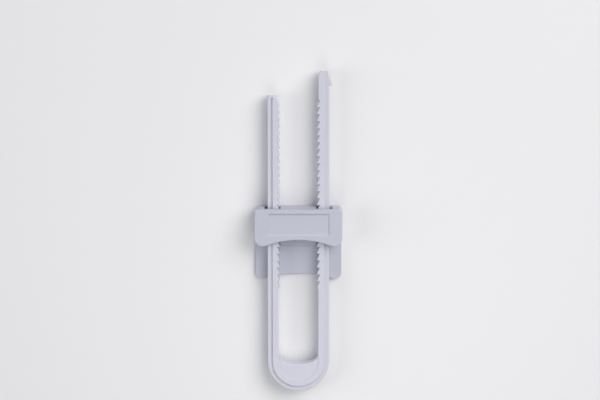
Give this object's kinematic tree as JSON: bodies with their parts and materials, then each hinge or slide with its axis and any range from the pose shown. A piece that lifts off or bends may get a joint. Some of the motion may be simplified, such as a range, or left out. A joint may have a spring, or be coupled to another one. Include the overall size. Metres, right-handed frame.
{
  "type": "cabinet safety lock",
  "caption": "Sliding cabinet lock: a U-shaped toothed shackle goes round knobs or handles, and a body with side squeeze buttons ratchets along its legs.",
  "frame": {"origin": "middle of the footprint, on the back of the lock's plate", "axes": "the lock lies on its back: +X across it to the long leg's side, +Y towards the tips of the legs, +Z out of its front"},
  "size_m": [0.057, 0.211, 0.0164],
  "materials": {
    "body_plastic": "satin moulded white, faintly lavender",
    "pawl_plastic": "smooth acetal",
    "spring_steel": "drawn wire",
    "screw_steel": "zinc plated"
  },
  "bodies": {
    "shackle": {"shackle": "body_plastic"},
    "lock_body": {"back_plate": "body_plastic", "front_cover": "body_plastic", "cover_screws": "screw_steel", "left_spring": "spring_steel", "right_spring": "spring_steel"},
    "left_button": {"left_button": "body_plastic"},
    "right_button": {"right_button": "body_plastic"},
    "left_pawl": {"left_pawl": "pawl_plastic"},
    "right_pawl": {"right_pawl": "pawl_plastic"}
  },
  "joints": [
    {"name": "body_slide", "type": "slide", "parent": "shackle", "child": "lock_body", "axis": [0, 1, 0], "range_m": [-0.0368, 0.1012]},
    {"name": "left_button_press", "type": "slide", "parent": "lock_body", "child": "left_button", "axis": [1, 0, 0], "range_m": [0, 0.0026], "stiffness_N_per_m": 500, "springref_m": -0.0047, "deforming": ["left_spring"]},
    {"name": "right_button_press", "type": "slide", "parent": "lock_body", "child": "right_button", "axis": [-1, 0, 0], "range_m": [0, 0.0026], "stiffness_N_per_m": 500, "springref_m": -0.0047, "deforming": ["right_spring"]},
    {"name": "left_pawl_slide", "type": "slide", "parent": "lock_body", "child": "left_pawl", "axis": [1, 0, 0], "range_m": [0, 0.0026]},
    {"name": "right_pawl_slide", "type": "slide", "parent": "lock_body", "child": "right_pawl", "axis": [-1, 0, 0], "range_m": [0, 0.0026]}
  ],
  "couplings": [
    {"joint": "left_pawl_slide", "follows": "left_button_press", "ratio": 1},
    {"joint": "right_pawl_slide", "follows": "right_button_press", "ratio": 1}
  ]
}
